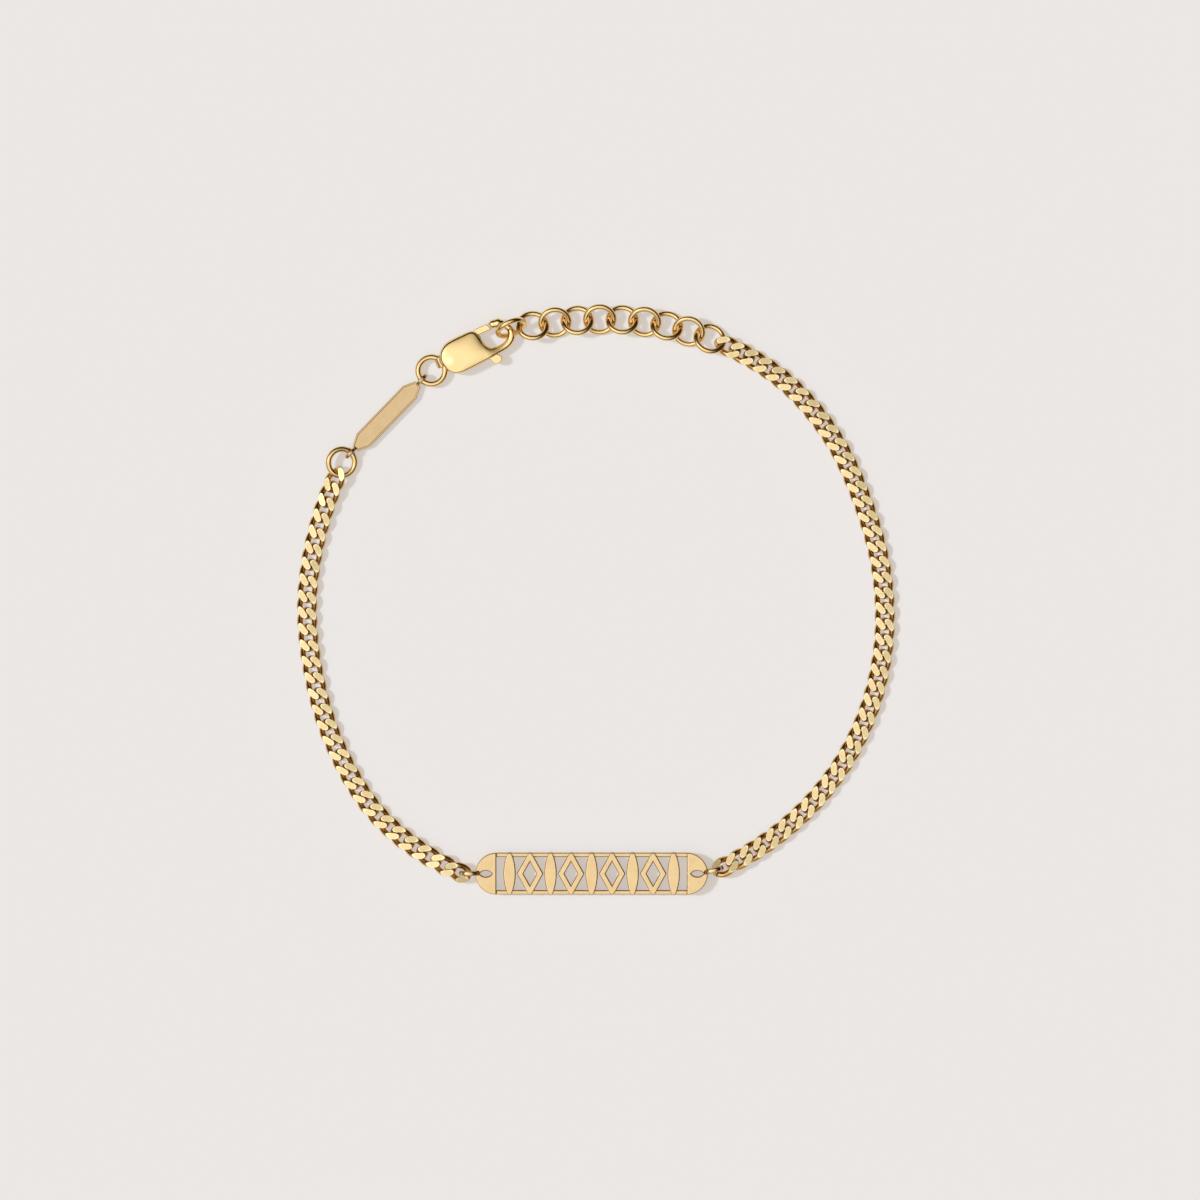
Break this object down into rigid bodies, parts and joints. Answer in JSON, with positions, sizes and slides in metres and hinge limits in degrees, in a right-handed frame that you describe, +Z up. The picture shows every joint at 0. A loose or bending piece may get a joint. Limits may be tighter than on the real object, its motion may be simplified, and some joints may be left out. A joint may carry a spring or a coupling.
{
  "type": "nameplate bracelet",
  "caption": "Fastened curb chain bracelet with a cut-through nameplate, a round-link extender, a lobster clasp and a long blank tag, lying flat as a closed loop.",
  "frame": {"origin": "Middle of the loop, on the surface that the bracelet lies on", "axes": "+X along the nameplate to the right, +Y from the nameplate towards the clasp, +Z up from the surface"},
  "size_m": [0.0612, 0.0604, 0.0032],
  "materials": {
    "nameplate_gold": "yellow gold, polished soft",
    "curb_gold": "yellow gold, filed flat and polished",
    "round_link_gold": "yellow gold wire, polished",
    "clasp_gold": "yellow gold, cast and mirror polished",
    "ring_gold": "yellow gold wire, polished",
    "tag_gold": "yellow gold, stamped and polished"
  },
  "bodies": {
    "bracelet": {"nameplate": "nameplate_gold", "curb_chain_left": "curb_gold", "curb_chain_right": "curb_gold", "extender_chain": "round_link_gold", "hooked_link": "round_link_gold", "clasp_body": "clasp_gold", "jump_ring_clasp": "ring_gold", "jump_ring_chain": "ring_gold", "tag": "tag_gold"},
    "lever": {"clasp_lever": "clasp_gold"}
  },
  "joints": [
    {"name": "lever_turn", "type": "hinge", "parent": "bracelet", "child": "lever", "pos_m": [-0.01233, 0.02657, 0.001], "axis": [0, 0, 1], "range_deg": [-20, 0], "stiffness_Nm_per_rad": 0.0005, "springref_deg": 5.73}
  ]
}
